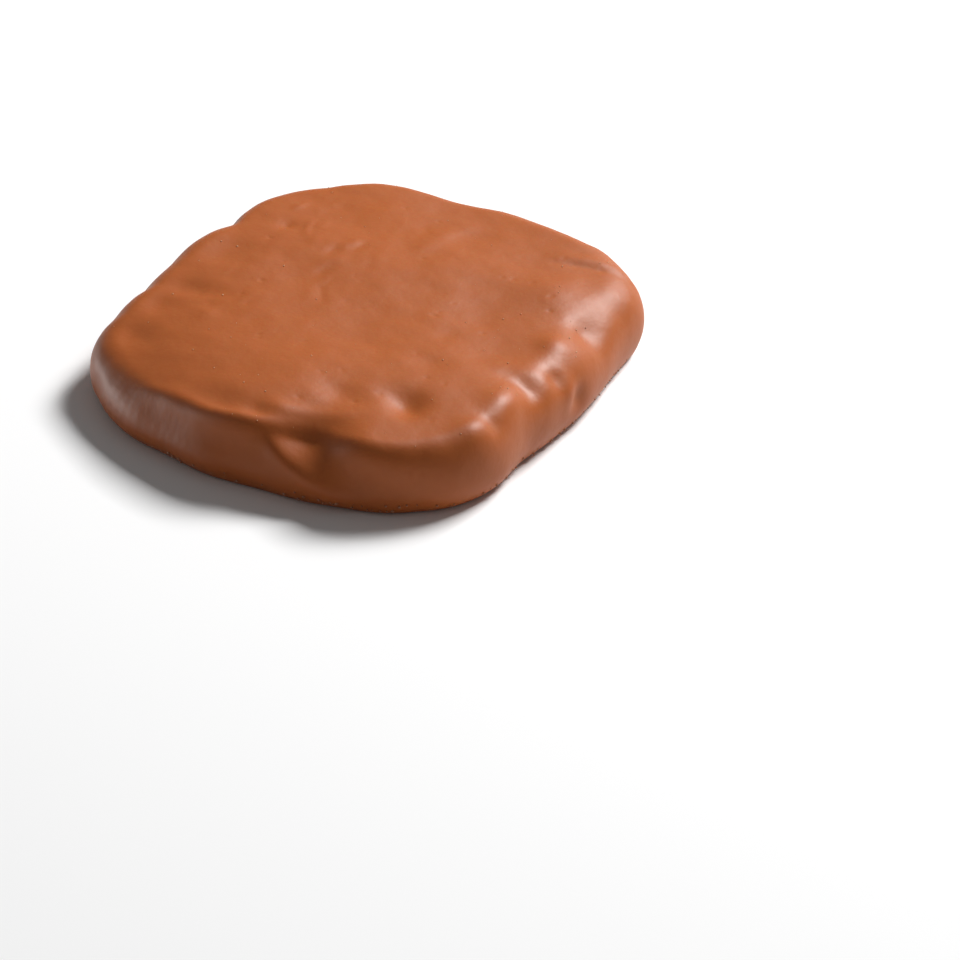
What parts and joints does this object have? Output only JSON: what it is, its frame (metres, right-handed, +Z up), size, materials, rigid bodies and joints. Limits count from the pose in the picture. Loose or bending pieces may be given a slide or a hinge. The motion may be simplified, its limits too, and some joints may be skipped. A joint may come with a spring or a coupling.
{
  "type": "chocolate hazelnut biscuit",
  "caption": "Rounded oblong hazelnut biscuit coated all over in milk chocolate, with a soft uneven top and a fold where the coating ran.",
  "frame": {"origin": "centre of the biscuit's box, on the flat base it lies on", "axes": "+X along the biscuit, +Y across it, +Z up from the base"},
  "size_m": [0.0646, 0.0536, 0.0098],
  "materials": {
    "chocolate_coating": "satin milk chocolate, set with soft dents and folds"
  },
  "bodies": {
    "root": {"biscuit": "chocolate_coating"}
  },
  "joints": []
}
